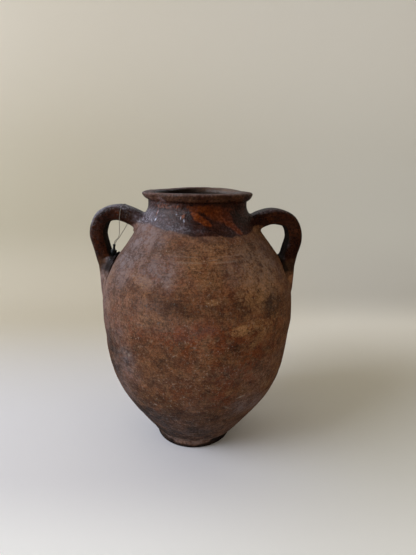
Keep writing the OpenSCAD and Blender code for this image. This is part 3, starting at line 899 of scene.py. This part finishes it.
class Recipe:
    """The nodes of one material, or of the world."""

    def __init__(self, owner):
        owner.use_nodes = True
        self.owner = owner
        self.tree = owner.node_tree
        self.tree.nodes.clear()

    def node(self, kind, settings=None, inputs=None, output=0):
        """Adds a node, applies its settings, then fills its sockets with values or links."""
        node = self.tree.nodes.new(kind)
        for key, value in (settings or {}).items():
            if key == "stops":
                for i, (position, colour) in enumerate(value):
                    stop = node.color_ramp.elements[i] if i < 2 else node.color_ramp.elements.new(position)
                    stop.position = position
                    stop.color = colour
            else:
                setattr(node, key, value)
        for key, value in (inputs or {}).items():
            if isinstance(value, Socket):
                self.tree.links.new(value.output, node.inputs[key])
            else:
                node.inputs[key].default_value = value
        return Socket(self, node.outputs[output])

    def place(self):
        return self.node("ShaderNodeTexCoord", output="Object")

    def mark(self, name):
        return self.node("ShaderNodeAttribute", {"attribute_name": name}, output="Fac")

    def noise(self, scale, detail=3, roughness=0.55, place=None):
        inputs = {"Vector": place or self.place(), "Scale": scale, "Detail": detail, "Roughness": roughness}
        return self.node("ShaderNodeTexNoise", {}, inputs)

    def ease(self, value, start, end):
        """0 where value is below start, 1 above end, with a smooth step between."""
        return self.node("ShaderNodeMapRange", {"interpolation_type": "SMOOTHSTEP"},
                         {"Value": value, "From Min": start, "From Max": end})

    def blend(self, factor, first, second):
        """From the first colour at 0 to the second at 1."""
        return self.node("ShaderNodeMix", {"data_type": "RGBA"}, {0: factor, 6: first, 7: second}, output=2)

    def scaled(self, colour, factor):
        """A colour made darker or brighter by a factor, in the same hue."""
        return self.node("ShaderNodeVectorMath", {"operation": "SCALE"}, {0: colour, "Scale": factor})

    def surface(self, **inputs):
        """A Principled shader with these sockets."""
        named = {key.replace("_", " ").title().replace("Ior", "IOR"): value for key, value in inputs.items()}
        return self.node("ShaderNodeBsdfPrincipled", {}, named, output="BSDF")

    def finish(self, **inputs):
        """Joins one such shader to the material's output."""
        return self.join(self.surface(**inputs), "ShaderNodeOutputMaterial")

    def join(self, shader, kind):
        """Joins a shader to an output node of this kind, and returns what the recipe is for."""
        node = self.tree.nodes.new(kind)
        self.tree.links.new(shader.output, node.inputs["Surface"])
        return self.owner


# %% [markdown]
# ## Bare clay and dark glaze
#
# Bare fired clay is matt and mottled: brown where it is clean, red where the iron burnt in more air, tan and
# grey where lime and dust have settled, nearly black where smoke and oil got in. The glaze is a dark glass
# that pooled thick, and shows amber where it ran thin. Both lie on the same wall, and the glaze's edge
# crosses the joint of the neck, so one recipe holds both, and a mark decides between them.
# Some of the grey is a painted sheen of the window, and some of the near black is painted shade.

# %% Clay and glaze recipe
CLAY = shade(124, 84, 55)
CLAY_DARK = shade(82, 54, 36)
RED_CLAY = shade(114, 60, 30)
TAN_CLAY = shade(152, 110, 72)
# grey dust, and the painted sheen of the window on the left shoulder
GREY_DUST_AND_SHEEN = shade(127, 117, 120)
SMOKE = shade(36, 26, 19)
BLACK = shade(13, 9, 7)
PALE_CHIP = shade(150, 135, 121)
GLAZE_DARK = shade(38, 15, 6)
GLAZE_BROWN = shade(54, 26, 14)
GLAZE_AMBER = shade(92, 38, 5)
GLAZE_HONEY = shade(112, 60, 24)
# pale dust on the glaze, and the painted sheen of the window on the neck and the straps
GLAZE_DUST_AND_SHEEN = shade(140, 136, 148)
PAINTED_GLINT = shade(196, 200, 220)


def jar_finish(name):
    """Layers from the fired body outwards: clay colours, smoke, the glaze over them, dust and wear on top, with
    painted sheen, glints and shade among them.
    """
    r = Recipe(bpy.data.materials.new(name))
    flat = r.node("ShaderNodeMapping", {}, {"Vector": r.place(), "Scale": (0.3, 0.3, 1)})
    flatter = r.node("ShaderNodeMapping", {}, {"Vector": r.place(), "Scale": (0.09, 0.09, 1)})
    patch = r.noise(38, 10, 0.78)
    cloud = r.noise(52, 10, 0.88)
    mottle = r.noise(80, 9, 0.82)
    blotch = r.noise(95, 6, 0.72)
    speck = r.noise(330, 4, 0.6)
    fine = r.noise(560, 3, 0.7)
    flake = r.noise(300, 5, 0.7, flat)
    grain = r.noise(1300, 3, 0.6)
    turning = r.noise(620, 4, 0.65, flatter)
    glaze = r.mark("glaze")

    clay = r.blend(r.ease(mottle, 0.38, 0.62), CLAY_DARK, CLAY)
    clay = r.blend(r.mark("rust") * r.ease(blotch + 0.5 * patch, 0.68, 0.78), clay, RED_CLAY)
    clay = r.blend(r.mark("ochre") * r.ease(mottle + 0.3 * speck, 0.54, 0.68), clay, TAN_CLAY)
    clay = r.blend(r.mark("soot_and_shade") * (0.3 + 0.6 * r.ease(patch + 0.5 * flake, 0.68, 0.82)), clay, SMOKE)
    pits = r.ease(speck, 0.58, 0.68) * r.mark("pits")
    clay = r.blend(0.75 * pits, clay, SMOKE)
    clay = r.blend(r.mark("lime") * r.ease(speck + 0.4 * grain, 0.78, 0.9), clay, PALE_CHIP)
    clay = r.blend(0.62 * r.ease(fine + 0.4 * speck, 0.57, 0.46), clay, PALE_CHIP)
    clay = r.blend(0.6 * r.ease(fine + 0.4 * speck, 0.85, 0.95), clay, SMOKE)

    glass = r.blend(r.ease(patch, 0.45, 0.6), GLAZE_DARK, GLAZE_BROWN)
    glass = r.blend(r.mark("amber") * r.ease(blotch, 0.32, 0.42), glass, GLAZE_AMBER)
    glass = r.blend(0.5 * r.mark("amber") * r.ease(blotch + speck, 1.0, 1.16), glass, GLAZE_HONEY)
    glass = r.blend(r.mark("rust") * r.ease(speck, 0.4, 0.5), glass, RED_CLAY)
    glass = r.blend(0.8 * r.mark("soot_and_shade"), glass, SMOKE)

    broken = (1 - glaze) * r.ease(mottle + 0.4 * speck, 0.64, 0.76) + glaze * r.ease(speck + 0.3 * fine, 0.66, 0.74)
    # dust, and a painted sheen of the window, laid over the clay and the glaze
    dust_and_sheen_layer = r.mark("dust_and_sheen") * (0.27 - 0.07 * glaze + 0.5 * broken)
    uneven = 2.5 * cloud + 0.9 * flake + 2.2 * fine + 1.4 * speck + 0.9 * turning
    colour = r.scaled(r.blend(glaze, clay, glass), 0.42 + 1.1 * r.ease(uneven, 3.3, 4.65))
    colour = r.blend(dust_and_sheen_layer, colour, r.blend(glaze, GREY_DUST_AND_SHEEN, GLAZE_DUST_AND_SHEEN))
    colour = r.blend(r.mark("scuff_and_light") * r.ease(grain, 0.3, 0.5), colour, PALE_CHIP)
    # painted highlights
    colour = r.blend(r.mark("painted_glint"), colour, PAINTED_GLINT)
    colour = r.blend(r.mark("nick_and_shade"), colour, BLACK)
    rough = 0.8 * speck + 0.8 * flake + 0.7 * fine + 0.3 * grain + 0.25 * turning + 1.5 * cloud - 1.2 * pits
    earthen = r.surface(base_color=colour, roughness=0.62 + 0.25 * speck + 0.25 * r.mark("nick_and_shade"), specular_ior_level=0.12,
                        normal=r.node("ShaderNodeBump", {}, {"Strength": 0.9, "Distance": 0.0012, "Height": rough}))
    smooth = 1.1 * speck + 0.6 * blotch + 0.3 * fine
    glassy = r.surface(base_color=colour, roughness=0.25 * blotch + 0.3 * dust_and_sheen_layer, specular_ior_level=0.3,
                       normal=r.node("ShaderNodeBump", {}, {"Strength": 0.9, "Distance": 0.0012, "Height": smooth}))
    return r.join(r.node("ShaderNodeMixShader", {}, {0: glaze, 1: earthen, 2: glassy}), "ShaderNodeOutputMaterial")


bare_clay = jar_finish("bare_clay")
dark_glaze = jar_finish("dark_glaze")
print("Nodes in the clay recipe:", len(bare_clay.node_tree.nodes))


# %% [markdown]
# ## Thread and plastic
#
# The thread is thin cotton gone grey, and the lock is glossy black plastic with the faint scratches that
# every handled plastic has.

# %% Thread and plastic recipes
def thread_finish():
    r = Recipe(bpy.data.materials.new("grey_thread"))
    fibre = r.noise(2600, 3)
    colour = r.blend(r.ease(fibre, 0.3, 0.7), shade(84, 78, 70), shade(146, 138, 126))
    bump = r.node("ShaderNodeBump", {}, {"Strength": 0.5, "Distance": 0.0002, "Height": fibre})
    return r.finish(base_color=colour, roughness=0.85 + 0.1 * fibre, normal=bump)


def plastic_finish():
    r = Recipe(bpy.data.materials.new("black_plastic"))
    wear = r.noise(900, 4)
    colour = r.blend(r.ease(wear, 0.5, 0.75), shade(8, 9, 10), shade(20, 21, 23))
    bump = r.node("ShaderNodeBump", {}, {"Strength": 0.2, "Distance": 0.0001, "Height": wear})
    return r.finish(base_color=colour, roughness=0.22 + 0.25 * wear, specular_ior_level=0.3, normal=bump)


grey_thread = thread_finish()
black_plastic = plastic_finish()

# %% [markdown]
# ## Putting the pieces in their places
#
# Each piece stands for one node of the model, which it hides, takes its finish, and belongs to the one body that the
# jar is.

# %% Finish, slot and body of each piece
PIECES = [
    (foot, "foot", bare_clay, "bare_clay"), (lower_body, "lower_body", bare_clay, "bare_clay"),
    (upper_body, "upper_body", bare_clay, "bare_clay"), (neck, "neck", dark_glaze, "dark_glaze"),
    (lip, "rim", dark_glaze, "dark_glaze"), (left_handle, "left_handle", dark_glaze, "dark_glaze"),
    (right_handle, "right_handle", dark_glaze, "dark_glaze"), (thread, "tag_thread", grey_thread, "thread"),
    (barrel, "tag_lock", black_plastic, "black_plastic"), (pin, "tag_lock_pin", black_plastic, "black_plastic"),
]
for piece, node, material, slot in PIECES:
    piece.data.materials.append(material)
    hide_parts(node)
    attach(piece, BODY)
print("Pieces in place:", len(PIECES))

# %% [markdown]
# ## Floor, backdrop and light
#
# The photograph shows a pale sheet that runs up behind the jar without an edge. The floor therefore bends up
# into the backdrop. A big soft lamp stands for a window on the left, slightly in front, and the grey world
# stands for the pale walls of the room.

# %% Sweep
def make_sweep():
    """A sheet of one outline in y and z: flat, then a quarter circle, then upright."""
    floor_back, bend, top = 520, 480, 3200
    arc = np.linspace(0, np.pi / 2, 25)
    side = np.vstack([[[-2600, 0]], np.column_stack([floor_back + bend * np.sin(arc), bend - bend * np.cos(arc)]),
                      [[floor_back + bend, top]]])
    across = np.array([-3500, 3500])
    grid = np.stack([across + 0 * side[:, :1], side[:, :1] + 0 * across, side[:, 1:] + 0 * across], axis=-1)
    row = np.arange(len(side) - 1)[:, None]
    faces = np.hstack([2 * row, 2 * row + 1, 2 * row + 3, 2 * row + 2]).tolist()
    mesh = bpy.data.meshes.new("sweep")
    mesh.from_pydata((grid.reshape(-1, 3) * MM).tolist(), [], faces)
    mesh.polygons.foreach_set("use_smooth", np.ones(len(mesh.polygons), bool))
    sweep = bpy.data.objects.new("sweep", mesh)
    scene.collection.objects.link(sweep)
    return sweep


def sheet_finish():
    """Cool white on the floor, warmer and darker up the backdrop, graded by place to paint the window's falloff and
    the jar's shadow.
    """
    r = Recipe(bpy.data.materials.new("pale_sheet"))
    split = r.node("ShaderNodeSeparateXYZ", {}, {0: r.place()}, output="Z")
    depth = r.node("ShaderNodeSeparateXYZ", {}, {0: r.place()}, output="Y")
    width = r.node("ShaderNodeSeparateXYZ", {}, {0: r.place()}, output="X")
    near = r.blend(r.ease(width, -0.05, 0.3), shade(228, 228, 232), shade(219, 218, 211))
    far = r.blend(r.ease(width, -0.3, 0.6), shade(211, 203, 184), shade(246, 243, 234))
    bend = r.blend(r.ease(width, -0.3, 0.6), shade(211, 203, 184), shade(206, 203, 194))
    front = r.blend(r.ease(width, -0.1, 0.25), shade(254, 255, 255), shade(242, 242, 238))
    floor = r.blend(r.ease(depth, 0.0, 0.5), near, far)
    floor = r.blend(r.ease(depth, 0.42, 0.68), floor, bend)
    floor = r.blend(r.ease(depth, -0.1, -0.26), floor, front)
    left = r.blend(r.ease(split, 0.2, 0.9), shade(191, 183, 161), shade(211, 203, 186))
    right = r.blend(r.ease(split, 0.2, 0.9), shade(214, 212, 202), shade(228, 224, 213))
    wall = r.blend(r.ease(width, -0.6, 0.9), left, right)
    mirrored = r.node("ShaderNodeLightPath", output="Is Glossy Ray")
    # In reflections the sheet shows painted colours: pale blue on the left of the backdrop, dark on the floor.
    painted_reflection = r.blend(r.ease(width, -0.8, 0.4), shade(240, 240, 255), shade(130, 126, 118))
    painted_reflection = r.blend(r.ease(split, 0.3, 0.6), shade(70, 66, 60), painted_reflection)
    colour = r.blend(mirrored, r.blend(r.ease(split, 0.0, 0.2), floor, wall), painted_reflection)
    return r.finish(base_color=colour, roughness=0.9 + 0.05 * r.noise(30))


sweep = make_sweep()
sweep.data.materials.append(sheet_finish())


# %% Lamps and world
def make_lamp(name, place, target, size, power, colour):
    """A square soft lamp at a place, facing a target, both in mm."""
    data = bpy.data.lights.new(name, "AREA")
    data.shape = "RECTANGLE"
    data.size, data.size_y = size[0] * MM, size[1] * MM
    data.energy = power
    data.color = colour
    lamp = bpy.data.objects.new(name, data)
    scene.collection.objects.link(lamp)
    place, target = np.array(place, float), np.array(target, float)
    back = (place - target) / np.linalg.norm(place - target)
    right = np.cross([0, 0, 1], back)
    right /= np.linalg.norm(right)
    turn_matrix = np.eye(4)
    turn_matrix[:3, 0], turn_matrix[:3, 1], turn_matrix[:3, 2] = right, np.cross(back, right), back
    turn_matrix[:3, 3] = place * MM
    lamp.matrix_world = Matrix(turn_matrix.tolist())
    return lamp


make_lamp("window", (-2800, -1150, 1650), (0, 0, 150), (1900, 2300), 114, (0.84, 0.89, 1))
room = make_lamp("room", (1500, -1300, 900), (0, 0, 150), (1600, 1600), 7.5, (1, 0.86, 0.68))
room.visible_glossy = False


PALE_SIDE = (-0.4, 0.9, 0.1)


def make_world():
    """Pale walls behind the jar and on its left, and the darker room in front of it and on its right."""
    r = Recipe(bpy.data.worlds.new("room"))
    facing = r.node("ShaderNodeTexCoord", output="Generated")
    side = r.node("ShaderNodeVectorMath", {"operation": "DOT_PRODUCT"}, {0: facing, 1: PALE_SIDE}, output="Value")
    colour = r.blend(r.ease(side, -0.8, 0.25), shade(89, 82, 72), shade(183, 175, 158))
    mirrored = r.node("ShaderNodeLightPath", output="Is Glossy Ray")
    background = r.node("ShaderNodeBackground", {}, {"Color": r.scaled(colour, 1 - 0.75 * mirrored)},
                        output="Background")
    return r.join(background, "ShaderNodeOutputWorld")


scene.world = make_world()
